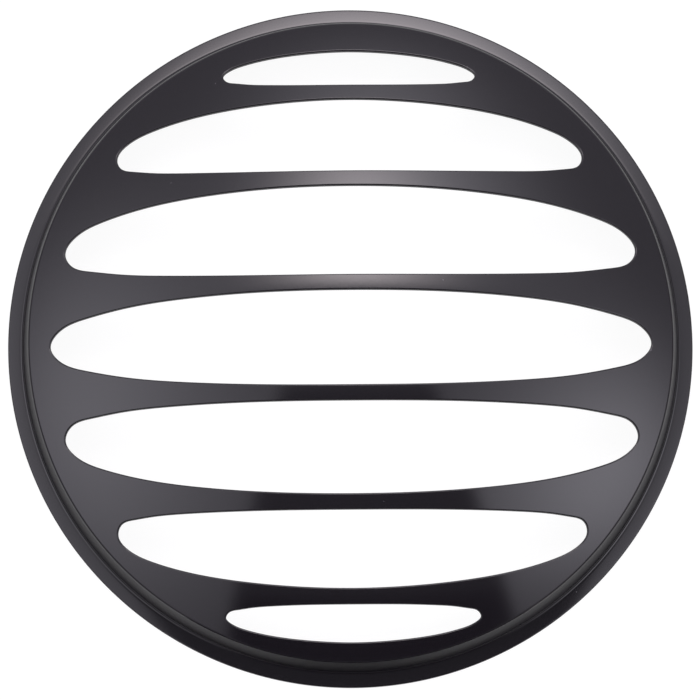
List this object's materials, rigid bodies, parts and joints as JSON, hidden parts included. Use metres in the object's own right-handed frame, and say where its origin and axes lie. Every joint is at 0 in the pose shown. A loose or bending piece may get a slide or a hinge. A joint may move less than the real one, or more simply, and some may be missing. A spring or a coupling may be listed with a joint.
{
  "type": "motorcycle headlight guard",
  "caption": "Round domed headlight guard in black gloss, with lens-shaped horizontal slots, slim bars between them, a steep wall and a seating flange.",
  "frame": {"origin": "on the dome's axis, at the back face of the flange", "axes": "+Z along the dome's axis, out of the lamp; the bars run along X; +Y is up when the guard is on the lamp"},
  "size_m": [0.178, 0.178, 0.0285],
  "materials": {
    "black_gloss": "smooth high-gloss black paint"
  },
  "bodies": {
    "root": {"guard": "black_gloss"}
  },
  "joints": []
}
